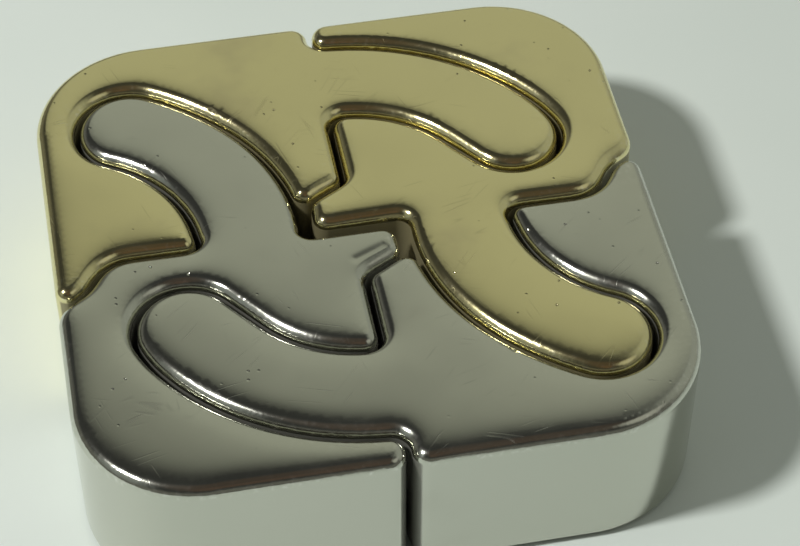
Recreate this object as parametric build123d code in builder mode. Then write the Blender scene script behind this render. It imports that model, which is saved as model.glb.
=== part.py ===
from build123d import *

import os

# A square interlocking puzzle of four castings, two gold plated at the rear and two silver plated at the
# front. Each piece has a curved finger that reaches over or through the next corner of the square.
# Millimetres. The origin is the centre of the underside, +Z is up, +Y is the gold side.

SIDE = 53.0
THICKNESS = 14.8
CORNER_RADIUS = 10.5

GAP = 0.5  # slot between two pieces along the curved grooves
CENTRE_GAP = 1.2  # the wider slot where the two beaks pass each other
LAP_CLEARANCE = 0.3  # height between the underside of a finger and the ledge below it
EDGE_RADIUS = 1.0  # polished round on the rim of every piece

# Plan corners.
MOUTH_RADIUS = 1.5  # where a groove runs out square to a side
SHELF_MOUTH_RADIUS = 2.4  # the blunt corner where the shelf groove runs out
TAIL_RADIUS = 1.1  # and the sharp corner on the other side of it
BEAK_RADIUS = 1.25
SOCKET_RADIUS = 1.2

BEAK_TIP = 3.4  # how far each beak reaches past the middle of the square
BEAK_SOCKET = 4.875  # the wall that faces the beak tip, from the middle
JUNCTION_REACH = 3.6  # where the slot beside the beak tip meets the two grooves, at the tip
JUNCTION_FAR_REACH = 3.2  # and at the wall that faces it
JUNCTION_START = 1.1

HALF = SIDE / 2
MID_HEIGHT = THICKNESS / 2
LEDGE_TOP = MID_HEIGHT - LAP_CLEARANCE / 2
FINGER_UNDERSIDE = MID_HEIGHT + LAP_CLEARANCE / 2
SHELF_WALL = 0.3  # side of the rear left piece that faces the shelf groove, from the middle
OVERRUN = 1.0  # how far a groove is carried past the side so that it cuts clean through


def follow(start, heading, moves):
    """Lay lines and arcs end to end, each tangent to the last.

    A move is (length,) for a straight or (radius, turn) for an arc; a positive turn is to the left.
    """
    point = Vector(*start)
    direction = Vector(1, 0).rotate(Axis.Z, heading)
    for move in moves:
        if len(move) == 1:
            step = Line(point, point + direction * move[0])
        else:
            step = JernArc(start=point, tangent=direction, radius=move[0], arc_size=move[1])
        point = step @ 1
        direction = step % 1


# Groove round the narrow finger: up from the beak, round the fingertip, back along its other side, then
# along a straight shelf and out through the side of the square.
with BuildLine() as narrow_groove:
    follow(
        (-(BEAK_SOCKET - GAP / 2), JUNCTION_START),
        90,
        [
            (20.3, 42),
            (28.0, 16),
            (4.6, 184),
            (12.6, -55),
            (0.8,),
            (1.25, -97),
            (4.8,),
            (3.8, 55),
            (1.2,),
            (3.5, -22),
            (4.0,),
        ],
    )

# Groove round the broad finger: in through the rear side, round the fingertip, back to the middle line
# and down it to the beak.
with BuildLine() as broad_groove:
    follow(
        (0, HALF + OVERRUN),
        -90,
        [
            (2.7,),
            (1.5, 84),
            (0.7,),
            (23.0, -50),
            (13.0, -14),
            (4.5, -162),
            (4.4,),
            (11.7, 46),
            (1.5, 96),
            (5.9,),
            (1.4, -60),
            (4.4,),
        ],
    )

# Plan corners to round, each as a point close to it and its radius. Their twins follow by half a turn.
plan_corners = [
    ((0.4, HALF), MOUTH_RADIUS),
    ((-0.4, HALF), MOUTH_RADIUS),
    ((-HALF, -4.5), TAIL_RADIUS),
    ((-HALF, -5.4), SHELF_MOUTH_RADIUS),
    ((-BEAK_TIP, CENTRE_GAP / 2), BEAK_RADIUS),
    ((-BEAK_TIP, JUNCTION_REACH), BEAK_RADIUS),
    ((-BEAK_TIP - GAP, JUNCTION_REACH + GAP), SOCKET_RADIUS),
    ((-BEAK_SOCKET, -CENTRE_GAP / 2), SOCKET_RADIUS),
]

# The whole square seen from above, cut into its four pieces. The pattern repeats after half a turn.
with BuildSketch() as pattern:
    RectangleRounded(SIDE, SIDE, CORNER_RADIUS)
    for groove in (narrow_groove, broad_groove):
        for turn in (0, 180):
            trace(groove.line.rotate(Axis.Z, turn), line_width=GAP, mode=Mode.SUBTRACT)
    Rectangle(2 * BEAK_SOCKET, CENTRE_GAP, mode=Mode.SUBTRACT)
    with PolarLocations(0, 2):
        Polygon(
            (-BEAK_SOCKET, -CENTRE_GAP / 2),
            (-BEAK_TIP, -CENTRE_GAP / 2),
            (-BEAK_TIP, JUNCTION_REACH),
            (-BEAK_SOCKET, JUNCTION_FAR_REACH),
            align=None,
            mode=Mode.SUBTRACT,
        )
    for (x, y), radius in plan_corners:
        for sign in (1, -1):
            corner = pattern.vertices().sort_by_distance(Vector(sign * x, sign * y))[0]
            fillet(corner, radius)


def outline(toward):
    """The plan of the one piece that lies furthest toward a plan direction."""
    return pattern.faces().sort_by(lambda face: face.center().dot(Vector(*toward)))[-1]


def round_rims(piece):
    """Round the edges of the top face and of the underside."""
    edges = piece.edges()
    rims = edges.group_by(Axis.Z)[-1] + edges.group_by(Axis.Z)[0]
    fillet(rims, EDGE_RADIUS)


def undercut(x_range, y_range):
    """The lower half of a box, cut from the piece being built, which leaves a finger above it."""
    with Locations(Vector(sum(x_range) / 2, sum(y_range) / 2)):
        Box(
            x_range[1] - x_range[0],
            y_range[1] - y_range[0],
            FINGER_UNDERSIDE,
            align=(Align.CENTER, Align.CENTER, Align.MIN),
            mode=Mode.SUBTRACT,
        )


def ledge(x_range, y_range):
    """The lower half of a box, added to the piece being built, kept inside the flat of the underside."""
    with BuildSketch() as plan:
        RectangleRounded(SIDE - 2 * EDGE_RADIUS, SIDE - 2 * EDGE_RADIUS, CORNER_RADIUS - EDGE_RADIUS)
        with Locations(Vector(sum(x_range) / 2, sum(y_range) / 2)):
            Rectangle(x_range[1] - x_range[0], y_range[1] - y_range[0], mode=Mode.INTERSECT)
    extrude(plan.sketch, amount=LEDGE_TOP)


def mirrored(span):
    """The same span after half a turn of the plan."""
    return (-span[1], -span[0])


# Plan spans of the fingers and of the pockets that hold them, each box a little larger than its contents.
BROAD_POCKET_X = (GAP / 2, 21.6)
BROAD_POCKET_Y = (3.1, 24.6)
BROAD_FINGER_X = (-GAP / 2, 22.0)
BROAD_FINGER_Y = (3.0, 24.5)
NARROW_FINGER_X = (-24.0, -BEAK_TIP)
NARROW_FINGER_Y = (-CENTRE_GAP / 2, 21.0)
NARROW_POCKET_X = (-23.8, -BEAK_SOCKET - 0.3)
NARROW_POCKET_Y = (SHELF_WALL, 21.5)

# The rear right piece. Its narrow finger runs through the front right piece at full thickness; a ledge
# fills the lower half of its own pocket.
with BuildPart() as gold_rear_right:
    add(outline((1, 0.2)))
    extrude(amount=THICKNESS)
    round_rims(gold_rear_right)
    ledge(BROAD_POCKET_X, BROAD_POCKET_Y)

# The rear left piece. Its broad finger lies on the ledge of the rear right piece.
with BuildPart() as gold_rear_left:
    add(outline((-0.2, 1)))
    extrude(amount=THICKNESS)
    round_rims(gold_rear_left)
    undercut(BROAD_FINGER_X, BROAD_FINGER_Y)
    ledge(NARROW_POCKET_X, NARROW_POCKET_Y)

# The front left piece. Its narrow finger lies on the ledge of the rear left piece.
with BuildPart() as silver_front_left:
    add(outline((-1, -0.2)))
    extrude(amount=THICKNESS)
    round_rims(silver_front_left)
    undercut(NARROW_FINGER_X, NARROW_FINGER_Y)
    ledge(mirrored(BROAD_POCKET_X), mirrored(BROAD_POCKET_Y))

# The front right piece. Its broad finger lies on the ledge of the front left piece, and its own pocket is
# open from top to bottom.
with BuildPart() as silver_front_right:
    add(outline((0.2, -1)))
    extrude(amount=THICKNESS)
    round_rims(silver_front_right)
    undercut(mirrored(BROAD_FINGER_X), mirrored(BROAD_FINGER_Y))

castings = {
    "gold_rear_right": gold_rear_right,
    "gold_rear_left": gold_rear_left,
    "silver_front_left": silver_front_left,
    "silver_front_right": silver_front_right,
}

os.makedirs("parts", exist_ok=True)
for name, casting in castings.items():
    casting.part.label = name
    export_step(casting.part, f"parts/{name}.step")
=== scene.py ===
import math

import bmesh
import bpy
import numpy as np
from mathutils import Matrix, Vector, noise
from mathutils.geometry import delaunay_2d_cdt


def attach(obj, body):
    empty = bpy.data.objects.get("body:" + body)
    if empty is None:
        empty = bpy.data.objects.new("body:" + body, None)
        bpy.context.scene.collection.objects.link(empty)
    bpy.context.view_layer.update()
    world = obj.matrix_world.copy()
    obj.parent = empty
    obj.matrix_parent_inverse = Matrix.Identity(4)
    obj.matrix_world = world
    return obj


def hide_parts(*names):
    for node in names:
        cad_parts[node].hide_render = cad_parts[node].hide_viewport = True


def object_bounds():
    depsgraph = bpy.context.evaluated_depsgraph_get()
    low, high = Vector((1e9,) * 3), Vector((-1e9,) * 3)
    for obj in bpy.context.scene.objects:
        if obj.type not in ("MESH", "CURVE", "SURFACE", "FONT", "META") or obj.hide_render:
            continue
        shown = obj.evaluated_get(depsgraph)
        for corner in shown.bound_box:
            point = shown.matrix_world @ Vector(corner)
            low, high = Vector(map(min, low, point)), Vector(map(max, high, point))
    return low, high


# The looks of a square interlocking puzzle: four plated castings on a pale table. Each casting's walls,
# ledges and rim rounds come from its CAD node; its flat top face is remade as a soft, hand-polished one.
# Metres throughout, in the CAD frame: origin at the centre of the underside, +Z up, +Y the gold side.

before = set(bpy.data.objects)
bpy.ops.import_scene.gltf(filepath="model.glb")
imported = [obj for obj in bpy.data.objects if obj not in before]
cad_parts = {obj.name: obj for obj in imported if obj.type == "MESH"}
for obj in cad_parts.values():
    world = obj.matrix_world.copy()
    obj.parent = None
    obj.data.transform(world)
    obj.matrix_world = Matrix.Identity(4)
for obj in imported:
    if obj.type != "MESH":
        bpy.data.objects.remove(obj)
cad_low, cad_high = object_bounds()

MM = 0.001
TOP = cad_high.z

# Shape of the tops.
RIM_RADIUS = 1.0 * MM  # round on the CAD rims
CORNER_RADIUS = 10.5 * MM  # plan corners of the square
# Inner walls past this depth get a dull finish and a colour darkened as painted shade of the grooves.
OUTER_SKIN = 0.3 * MM  # anything deeper than this is a wall that only the puzzle's insides see
# How far a straight rim lies below the middle of the face, and how quickly the face rises away from it.
CROWNS = [(0.19 * MM, 0.7 * MM), (0.04 * MM, 2.0 * MM)]
WAVE_DEPTH = 0.04 * MM  # slow unevenness left by hand polishing
WAVE_LENGTH = 11 * MM
GRID_STEP = 0.45 * MM
LONGEST_RIM_EDGE = 0.5 * MM
WELD = 0.001 * MM
ONLY_INSIDE = 1  # the triangulation's mode that keeps the triangles inside the rim
NET_TOLERANCE = 1e-6  # millimetres
SHARP_ANGLE = math.radians(32)

# Dent on the front left piece's beak: its two ends, its depth and its half width.
DENTED_NODE = "silver_front_left"
DENT_ENDS = (Vector((-0.6, -4.2)) * MM, Vector((2.0, -3.0)) * MM)
DENT_DEPTH = 0.06 * MM
DENT_WIDTH = 0.4 * MM
DENT_STEP = 0.12 * MM
DENT_REACH = 4 * DENT_WIDTH
LEAST_DENT = 1e-6 * MM  # where the dent is shallower than this, the net stays coarse

BODY_OF = {
    "gold_rear_left": "rear_left",
    "gold_rear_right": "rear_right",
    "silver_front_left": "front_left",
    "silver_front_right": "front_right",
}


# ---------------------------------------------------------------------------------------------------------
# Shader node helpers


def new_node(tree, kind, inputs=(), **settings):
    """Add a shader node. An input is a plain value, or another node's output to link from."""
    node = tree.nodes.new(kind)
    for name, value in settings.items():
        setattr(node, name, value)
    for name, value in dict(inputs).items():
        if isinstance(value, bpy.types.NodeSocket):
            tree.links.new(value, node.inputs[name])
        else:
            node.inputs[name].default_value = value
    return node


def calc(tree, operation, *values, clamp=False):
    """A math node's result."""
    return new_node(
        tree, "ShaderNodeMath", enumerate(values), operation=operation, use_clamp=clamp
    ).outputs[0]


def product(tree, first, *others):
    """All the values multiplied together."""
    for other in others:
        first = calc(tree, "MULTIPLY", first, other)
    return first


def add_shares(tree, total, shares):
    """A total plus each mask times its share."""
    for mask, share in shares:
        total = calc(tree, "ADD", total, product(tree, mask, share))
    return total


def ramp(tree, value, low, high, out_low=0.0, out_high=1.0):
    """Smooth step of a value from low to high."""
    return new_node(
        tree,
        "ShaderNodeMapRange",
        {"Value": value, "From Min": low, "From Max": high, "To Min": out_low, "To Max": out_high},
        interpolation_type="SMOOTHSTEP",
    ).outputs[0]


def mix_colour(tree, factor, first, second):
    """First colour where the factor is 0, second where it is 1."""
    node = new_node(tree, "ShaderNodeMix", data_type="RGBA")
    for name, value in (("Factor", factor), ("A", first), ("B", second)):
        socket = next(s for s in node.inputs if s.name == name and s.enabled)
        if isinstance(value, bpy.types.NodeSocket):
            tree.links.new(value, socket)
        else:
            socket.default_value = value
    return next(s for s in node.outputs if s.enabled)


def noise_at(tree, place, size, detail=2.0, seed=0.0):
    """Noise from 0 to 1 whose lumps are about the given size, at a place in metres."""
    return new_node(
        tree,
        "ShaderNodeTexNoise",
        {"Vector": place, "W": seed, "Scale": 1 / size, "Detail": detail},
        noise_dimensions="4D",
    ).outputs["Fac"]


# ---------------------------------------------------------------------------------------------------------
# Plated metal

SCRATCH_ANGLES = (18, -41, 73, 128, -77)  # degrees in plan
SCRATCH_LENGTH = 26 * MM
SCRATCH_SPACING = 1.3 * MM
SCRATCH_WIDTH = 0.014  # of the noise's range, either side of its middle
SCRATCH_DEPTH = 0.0025 * MM
SCRATCHED_PATCH = 4 * MM
PIT_SPACING = 1.1 * MM
PIT_RADIUS = 0.17 * MM
PIT_DEPTH = 0.08 * MM
PIT_SHARE = 0.3  # part of the cells that hold a pit, in a pitted patch
PITTED_PATCH = 10 * MM
SPECK_SPACING = 3.2 * MM
SPECK_RADIUS = 0.16 * MM
SPECK_SHARE = 0.16
SPECK_DIRT = (0.05, 0.045, 0.035, 1)
SMUDGE_SIZE = 7 * MM
STAIN_SIZE = 13 * MM
NICK_SIZE = 0.5 * MM
NICK_DEPTH = 0.02 * MM
RIPPLE_SIZE = 2.2 * MM
RIPPLE_DEPTH = 0.0025 * MM
DULL_METALLIC = 0.35


def scratches(tree, place, angle, seed):
    """Hairlines in one direction, 1 on a line: the contour lines of a much stretched noise."""
    stretched = new_node(
        tree,
        "ShaderNodeMapping",
        {
            "Vector": place,
            "Rotation": (0, 0, math.radians(angle)),
            "Scale": (SCRATCH_SPACING, SCRATCH_LENGTH, SCRATCH_SPACING),
        },
        vector_type="TEXTURE",
    ).outputs[0]
    lines = new_node(
        tree,
        "ShaderNodeTexNoise",
        {"Vector": stretched, "W": seed, "Scale": 1.0, "Detail": 0.0},
        noise_dimensions="4D",
    ).outputs["Fac"]
    off_line = calc(tree, "ABSOLUTE", calc(tree, "SUBTRACT", lines, 0.5))
    on_line = ramp(tree, off_line, 0.0, SCRATCH_WIDTH, 1.0, 0.0)
    where = ramp(tree, noise_at(tree, place, SCRATCHED_PATCH, 1.0, seed + 5.3), 0.6, 0.7)
    return product(tree, on_line, where)


def pits(tree, place, spacing, radius, share, seed):
    """Small round spots, 1 at their centres, in a share of the cells of a random pattern."""
    moved = new_node(
        tree, "ShaderNodeVectorMath", {0: place, 1: (seed, seed, seed)}, operation="ADD"
    ).outputs[0]
    cells = new_node(tree, "ShaderNodeTexVoronoi", {"Vector": moved, "Scale": 1 / spacing})
    chance = new_node(tree, "ShaderNodeSeparateColor", {"Color": cells.outputs["Color"]}).outputs[0]
    spot = ramp(tree, cells.outputs["Distance"], 0.0, radius / spacing, 1.0, 0.0)
    return product(tree, spot, calc(tree, "LESS_THAN", chance, share))


def plated_metal(name, colour, worn, tarnish, painted_groove_shade, roughness, seed):
    """Polished plating with hairlines, pits, smudges, tarnish and worn rims, and inner walls that are dull
    and darkened as painted shade of the grooves.
    """
    material = bpy.data.materials.new(name)
    material.use_nodes = True
    tree = material.node_tree
    shader = tree.nodes["Principled BSDF"]
    place = new_node(tree, "ShaderNodeTexCoord").outputs["Object"]
    height = new_node(tree, "ShaderNodeSeparateXYZ", {"Vector": place}).outputs["Z"]
    on_top = ramp(tree, height, TOP - 0.6 * RIM_RADIUS, TOP - 0.3 * RIM_RADIUS)
    on_round = ramp(tree, height, TOP - 1.4 * RIM_RADIUS, TOP - 1.1 * RIM_RADIUS)
    rim = new_node(tree, "ShaderNodeAttribute", attribute_name="rim").outputs["Fac"]
    rim = product(tree, rim, on_round)
    # Inner walls below the rounds: dull, and darkened with painted shade of the grooves.
    inner = new_node(tree, "ShaderNodeAttribute", attribute_name="cast").outputs["Fac"]
    cast = product(tree, inner, calc(tree, "SUBTRACT", 1.0, on_round))

    lines = None
    for index, angle in enumerate(SCRATCH_ANGLES):
        layer = scratches(tree, place, angle, seed + index * 3.1)
        lines = layer if lines is None else calc(tree, "MAXIMUM", lines, layer)
    lines = product(tree, lines, on_top)
    spots = pits(tree, place, PIT_SPACING, PIT_RADIUS, PIT_SHARE, seed * MM)
    pitted = ramp(tree, noise_at(tree, place, PITTED_PATCH, 1.0, seed + 11), 0.48, 0.6)
    spots = product(tree, spots, pitted, on_top)
    specks = pits(tree, place, SPECK_SPACING, SPECK_RADIUS, SPECK_SHARE, (seed + 3) * MM)
    specks = product(tree, specks, on_top)
    smudge = noise_at(tree, place, SMUDGE_SIZE, 3.0, seed)
    stain = ramp(tree, noise_at(tree, place, STAIN_SIZE, 4.0, seed + 8), 0.55, 0.78)
    nicks = noise_at(tree, place, NICK_SIZE, 1.5, seed + 2)
    wear = product(tree, rim, ramp(tree, nicks, 0.5, 0.75))

    # The inner walls are dull, because nobody could polish them. Their darker colour below is painted shade
    # of the deep grooves between the pieces.
    tree.links.new(ramp(tree, cast, 0.0, 1.0, 1.0, DULL_METALLIC), shader.inputs["Metallic"])

    # Colour: tarnish in broad stains, bare metal where a rim is worn, dirt in the odd speck, and painted
    # shade of the grooves on the inner walls.
    base = colour
    for mask, share, other in (
        (stain, 0.8, tarnish),
        (wear, 0.6, worn),
        (specks, 0.75, SPECK_DIRT),
        # painted shade: the inner walls of the grooves are mixed toward a dark tone
        (cast, 0.9, painted_groove_shade),
    ):
        base = mix_colour(tree, product(tree, mask, share), base, other)
    tree.links.new(base, shader.inputs["Base Color"])

    # Roughness: smudges, then everything that makes the metal less smooth.
    rough = ramp(tree, smudge, 0.3, 0.75, roughness * 0.8, roughness * 1.45)
    rough_shares = [(lines, 0.12), (spots, 0.2), (wear, 0.06), (stain, 0.05), (cast, 0.25)]
    rough = add_shares(tree, rough, rough_shares)
    tree.links.new(rough, shader.inputs["Roughness"])

    # Relief, in metres.
    relief = product(tree, noise_at(tree, place, RIPPLE_SIZE, 1.0, seed + 4), RIPPLE_DEPTH)
    nicked = product(tree, nicks, rim)
    relief = add_shares(
        tree, relief, [(lines, -SCRATCH_DEPTH), (spots, -PIT_DEPTH), (nicked, NICK_DEPTH)]
    )
    bump = new_node(tree, "ShaderNodeBump", {"Height": relief, "Distance": 1.0, "Strength": 1.0})
    tree.links.new(bump.outputs[0], shader.inputs["Normal"])
    return material


PLATING = {
    "gold_plating": plated_metal(
        "gold_plating",
        colour=(0.80, 0.73, 0.40, 1),
        worn=(0.90, 0.86, 0.66, 1),
        tarnish=(0.60, 0.53, 0.33, 1),
        # dark tone of the inner walls, painted shade of the grooves
        painted_groove_shade=(0.25, 0.225, 0.125, 1),
        roughness=0.13,
        seed=1.7,
    ),
    "silver_plating": plated_metal(
        "silver_plating",
        colour=(0.565, 0.572, 0.503, 1),
        worn=(0.80, 0.79, 0.75, 1),
        # dark tone of the inner walls, painted shade of the grooves
        tarnish=(0.49, 0.485, 0.42, 1),
        painted_groove_shade=(0.18, 0.18, 0.155, 1),
        roughness=0.14,
        seed=6.4,
    ),
}


# ---------------------------------------------------------------------------------------------------------
# Castings


def rim_segments(mesh):
    """Middles and lengths of the plan segments of the line where the walls meet the top rounds."""
    height = TOP - RIM_RADIUS
    middles, lengths = [], []
    for edge in mesh.edges:
        a, b = (vert.co for vert in edge.verts)
        if max(abs(a.z - height), abs(b.z - height)) > WELD:
            continue
        cuts = max(1, math.ceil((b - a).length / LONGEST_RIM_EDGE))
        for index in range(cuts):
            middles.append(a.lerp(b, (index + 0.5) / cuts).xy)
            lengths.append((b - a).length / cuts)
    return np.array(middles), np.array(lengths)


def rim_closeness(points, middles, lengths, reach):
    """1 beside a straight rim, fading to 0 away from it.

    More than 1 on a convex corner, less than 1 in a hollow.
    """
    gaps = np.linalg.norm(points[:, None, :] - middles[None, :, :], axis=2)
    return (np.exp(-gaps / reach) @ lengths) / (2 * reach)


def distance_to(points, starts, ends):
    """Distance from each point to the nearest of a set of plan segments."""
    along = ends - starts
    square = np.maximum((along**2).sum(1), WELD**2)
    offset = points[:, None, :] - starts[None, :, :]
    share = np.clip((offset * along[None]).sum(2) / square, 0, 1)
    return np.linalg.norm(offset - share[..., None] * along[None], axis=2).min(1)


def dent_depth(points):
    """Depth of the dent at plan points, deepest along the line between its ends."""
    start, end = (np.array([tuple(point)]) for point in DENT_ENDS)
    gaps = distance_to(points, start, end)
    return DENT_DEPTH * np.exp(-((gaps / DENT_WIDTH) ** 2))


def grid(low, high, step):
    """Plan points of a triangular grid that covers a box."""
    row_step = step * math.sqrt(3) / 2
    points = []
    for row in range(math.ceil((high[1] - low[1]) / row_step)):
        shift = step / 2 if row % 2 else 0.0
        for column in range(math.ceil((high[0] - low[0]) / step)):
            points.append((low[0] + shift + column * step, low[1] + row * row_step))
    return np.array(points)


def inside(points, starts, ends):
    """Which plan points lie inside the closed line made of these segments."""
    x, y = points[:, 0, None], points[:, 1, None]
    (x0, y0), (x1, y1) = starts.T, ends.T
    spans = (y0 > y) != (y1 > y)
    rise = np.where(y1 == y0, 1.0, y1 - y0)
    crossing = x0 + (y - y0) * (x1 - x0) / rise
    return (spans & (x < crossing)).sum(1) % 2 == 1


def long_rim_edges(mesh):
    """Edges on the top rounds that are too long to bend with the face."""
    low = TOP - RIM_RADIUS - WELD
    on_round = [edge for edge in mesh.edges if min(vert.co.z for vert in edge.verts) > low]
    return [edge for edge in on_round if edge.calc_length() > LONGEST_RIM_EDGE]


def remake_top(mesh, dented):
    """Replace the flat top face by an even net of triangles that follows the rim."""
    flat = [face for face in mesh.faces if all(vert.co.z > TOP - WELD for vert in face.verts)]
    bmesh.ops.delete(mesh, geom=flat, context="FACES")
    while long := long_rim_edges(mesh):
        bmesh.ops.subdivide_edges(mesh, edges=long, cuts=1, use_grid_fill=True)
    border = [edge for edge in mesh.edges if edge.is_boundary]
    rim = [vert for vert in mesh.verts if vert.is_boundary]
    order = {vert: index for index, vert in enumerate(rim)}
    links = [(order[edge.verts[0]], order[edge.verts[1]]) for edge in border]
    plan = np.array([tuple(vert.co.xy) for vert in rim])
    starts, ends = (plan[[link[end] for link in links]] for end in (0, 1))

    fill = grid(plan.min(0), plan.max(0), GRID_STEP)
    if dented:
        near = grid(
            [min(point[axis] for point in DENT_ENDS) - DENT_REACH for axis in (0, 1)],
            [max(point[axis] for point in DENT_ENDS) + DENT_REACH for axis in (0, 1)],
            DENT_STEP,
        )
        fill = np.vstack([fill[dent_depth(fill) < LEAST_DENT], near[dent_depth(near) >= LEAST_DENT]])
    fill = fill[inside(fill, starts, ends)]
    fill = fill[distance_to(fill, starts, ends) > GRID_STEP / 2]

    # Millimetres here, so that the triangulation's tolerance is fine enough.
    corners = [Vector(point) / MM for point in np.vstack([plan, fill])]
    found = delaunay_2d_cdt(corners, links, [], ONLY_INSIDE, NET_TOLERANCE)
    points, triangles, origins = found[0], found[2], found[3]
    verts = []
    for point, origin in zip(points, origins):
        known = [index for index in origin if index < len(rim)]
        verts.append(rim[known[0]] if known else mesh.verts.new((point.x * MM, point.y * MM, TOP)))
    for corner_ids in triangles:
        face = mesh.faces.new([verts[index] for index in corner_ids])
        face.normal_update()
        if face.normal.z < 0:
            face.normal_flip()


def soften_top(mesh, dented):
    """Let the top fall away softly toward its rim, with slow waves. Returns how near each point is to it."""
    middles, lengths = rim_segments(mesh)
    verts = list(mesh.verts)
    plan = np.array([tuple(vert.co.xy) for vert in verts])
    closeness = [rim_closeness(plan, middles, lengths, reach) for _, reach in CROWNS]
    crown = sum(depth * near for (depth, _), near in zip(CROWNS, closeness))
    dent = dent_depth(plan) if dented else np.zeros(len(verts))
    for index, vert in enumerate(verts):
        if vert.co.z < TOP - RIM_RADIUS - WELD:
            continue
        wave = 0.5 + 0.5 * noise.noise(Vector((vert.co.x, vert.co.y, 0.0)) / WAVE_LENGTH)
        vert.co.z -= crown[index] + WAVE_DEPTH * wave + dent[index]
    return closeness[0]


def depth_inside(point):
    """How far a point lies inside the outer walls of the whole square."""
    centre = cad_high.x - CORNER_RADIUS
    past = Vector((max(abs(point.x) - centre, 0), max(abs(point.y) - centre, 0)))
    if past.length > 0:
        return CORNER_RADIUS - past.length
    return CORNER_RADIUS


def casting(name):
    """The visible piece that stands for one CAD node. Its points say where its rim is worn, and which inner
    walls get the dull finish and the painted groove shade.
    """
    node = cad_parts[name]
    slot = node.material_slots[0].material.name.split(".")[0]
    dented = name == DENTED_NODE
    mesh = bmesh.new()
    mesh.from_mesh(node.data)
    bmesh.ops.remove_doubles(mesh, verts=mesh.verts, dist=WELD)
    remake_top(mesh, dented)
    closeness = soften_top(mesh, dented)
    wear = mesh.verts.layers.float.new("rim")
    cast = mesh.verts.layers.float.new("cast")
    for vert, value in zip(mesh.verts, closeness):
        on_top = vert.co.z > TOP - 2 * RIM_RADIUS
        vert[wear] = float(np.clip(value, 0, 1)) ** 2 if on_top else 0.0
        # 1 on the inner walls, which get the dull finish and the painted groove shade
        vert[cast] = 0.0 if depth_inside(vert.co) < OUTER_SKIN else 1.0
    bmesh.ops.recalc_face_normals(mesh, faces=mesh.faces)
    for face in mesh.faces:
        face.smooth = True
    for edge in mesh.edges:
        edge.smooth = len(edge.link_faces) == 2 and edge.calc_face_angle() < SHARP_ANGLE
    data = bpy.data.meshes.new(name + "_casting")
    mesh.to_mesh(data)
    mesh.free()
    piece = bpy.data.objects.new(name + "_casting", data)
    bpy.context.scene.collection.objects.link(piece)
    data.materials.append(PLATING[slot])
    normals = piece.modifiers.new("even_normals", "WEIGHTED_NORMAL")
    normals.keep_sharp = True
    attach(piece, BODY_OF[name])
    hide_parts(name)
    return piece


for name in BODY_OF:
    casting(name)


# ---------------------------------------------------------------------------------------------------------
# Table, light and camera


def direction(azimuth, elevation):
    """Unit vector: azimuth in degrees from the front (-Y) toward +X, elevation above the table."""
    turn, rise = math.radians(azimuth), math.radians(elevation)
    return Vector((math.sin(turn) * math.cos(rise), -math.cos(turn) * math.cos(rise), math.sin(rise)))


def point_at(obj, heading):
    """Turn a light or camera so that it looks along a direction."""
    obj.rotation_euler = heading.to_track_quat("-Z", "Y").to_euler()


FLOOR_REACH = 1.5
FLOOR_TONES = ((0.72, 0.795, 0.75, 1), (0.75, 0.82, 0.78, 1))
FLOOR_TONE_SIZE = 40 * MM
FLOOR_ROUGHNESS = 0.55
FLOOR_SPECULAR = 0.25

floor_mesh = bpy.data.meshes.new("table")
floor_mesh.from_pydata(
    [(x * FLOOR_REACH, y * FLOOR_REACH, 0) for x, y in ((-1, -1), (1, -1), (1, 1), (-1, 1))],
    [],
    [(0, 1, 2, 3)],
)
floor = bpy.data.objects.new("table", floor_mesh)
bpy.context.scene.collection.objects.link(floor)
floor_paint = bpy.data.materials.new("table_paint")
floor_paint.use_nodes = True
paint = floor_paint.node_tree
floor_place = new_node(paint, "ShaderNodeTexCoord").outputs["Object"]
floor_tone = ramp(paint, noise_at(paint, floor_place, FLOOR_TONE_SIZE, 2.0), 0.3, 0.7)
floor_shader = paint.nodes["Principled BSDF"]
paint.links.new(mix_colour(paint, floor_tone, *FLOOR_TONES), floor_shader.inputs["Base Color"])
floor_shader.inputs["Roughness"].default_value = FLOOR_ROUGHNESS
floor_shader.inputs["Specular IOR Level"].default_value = FLOOR_SPECULAR
floor_mesh.materials.append(floor_paint)

# Degrees, metres and watts.
KEY_AZIMUTH = -80
KEY_ELEVATION = 51
KEY_DISTANCE = 0.6
KEY_SIZE = 0.073
KEY_POWER = 2.68
KEY_COLOUR = (1.0, 0.985, 0.96)
FILL_HEIGHT = 0.9
FILL_SIZE = 1.6
FILL_POWER = 1.15
FILL_COLOUR = (0.97, 1.0, 1.0)


def lamp(name, place, power, size, colour):
    """A round lamp that faces the origin."""
    light = bpy.data.lights.new(name, "AREA")
    light.shape = "DISK"
    light.energy = power
    light.size = size
    light.color = colour
    holder = bpy.data.objects.new(name, light)
    bpy.context.scene.collection.objects.link(holder)
    holder.location = place
    point_at(holder, -place)
    return holder


key_place = direction(KEY_AZIMUTH, KEY_ELEVATION) * KEY_DISTANCE
lamp("key", key_place, KEY_POWER, KEY_SIZE, KEY_COLOUR)
fill = lamp("fill", Vector((0, 0, FILL_HEIGHT)), FILL_POWER, FILL_SIZE, FILL_COLOUR)
fill.visible_glossy = False

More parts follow.
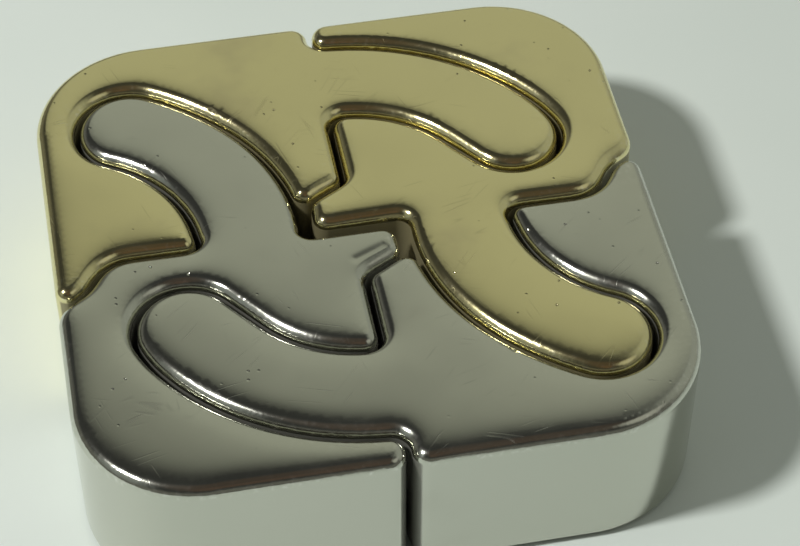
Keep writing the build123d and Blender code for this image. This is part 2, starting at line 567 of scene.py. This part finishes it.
# What the polished metal reflects: a dim room with a few broad pale or brown patches.
# Azimuth and elevation of the patch, its solid and its faded radius in degrees, and its colour.
ROOM_PATCHES = [
    (112, 26, 16, 48, (0.36, 0.375, 0.32, 1)),  # the rear right
    (166, 30, 16, 32, (0.44, 0.455, 0.37, 1)),  # the rear, which the tops reflect
    (0, 62, 6, 34, (0.075, 0.058, 0.045, 1)),  # the dark above the camera
    (0, 46, 3, 14, (0.10, 0.07, 0.052, 1)),  # and round it
    (52, 42, 4, 22, (0.46, 0.46, 0.40, 1)),  # the front right
    (-75, 30, 6, 26, (0.26, 0.28, 0.26, 1)),  # the left, below the key
]
ROOM_DARK = (0.042, 0.043, 0.04, 1)
ROOM_HORIZON = (0.15, 0.15, 0.13, 1)  # the low part of the room, all round
HORIZON_SOLID = 14  # degrees of elevation, up to which it is solid
HORIZON_TOP = 34  # and where it has faded to the dark

world = bpy.data.worlds.new("room")
world.use_nodes = True
bpy.context.scene.world = world
room = world.node_tree
heading = new_node(room, "ShaderNodeTexCoord").outputs["Generated"]
up = new_node(room, "ShaderNodeSeparateXYZ", {"Vector": heading}).outputs["Z"]
low_share = ramp(
    room, up, math.sin(math.radians(HORIZON_SOLID)), math.sin(math.radians(HORIZON_TOP)), 1.0, 0.0
)
glow = mix_colour(room, low_share, ROOM_DARK, ROOM_HORIZON)
for azimuth, elevation, solid, faded, colour in ROOM_PATCHES:
    facing = new_node(
        room,
        "ShaderNodeVectorMath",
        {0: heading, 1: direction(azimuth, elevation)},
        operation="DOT_PRODUCT",
    ).outputs["Value"]
    share = ramp(room, facing, math.cos(math.radians(faded)), math.cos(math.radians(solid)))
    glow = mix_colour(room, share, glow, colour)
room.links.new(glow, room.nodes["Background"].inputs["Color"])

CAMERA_AIM = Vector((2.756, -6.625, 14.8)) * MM
CAMERA_AZIMUTH = -10.77
CAMERA_ELEVATION = 47.94
CAMERA_DISTANCE = 197.43 * MM
FOCAL_LENGTH = 103.8  # this and the next in millimetres, as Blender takes them
SENSOR_WIDTH = 36

lens = bpy.data.cameras.new("camera")
lens.lens = FOCAL_LENGTH
lens.sensor_width = SENSOR_WIDTH
lens.sensor_fit = "HORIZONTAL"
lens.clip_start = 10 * MM
camera = bpy.data.objects.new("camera", lens)
bpy.context.scene.collection.objects.link(camera)
camera.location = CAMERA_AIM + direction(CAMERA_AZIMUTH, CAMERA_ELEVATION) * CAMERA_DISTANCE
point_at(camera, CAMERA_AIM - camera.location)
bpy.context.scene.camera = camera
bpy.context.scene.view_settings.view_transform = "Standard"
bpy.context.scene.cycles.glossy_bounces = 8
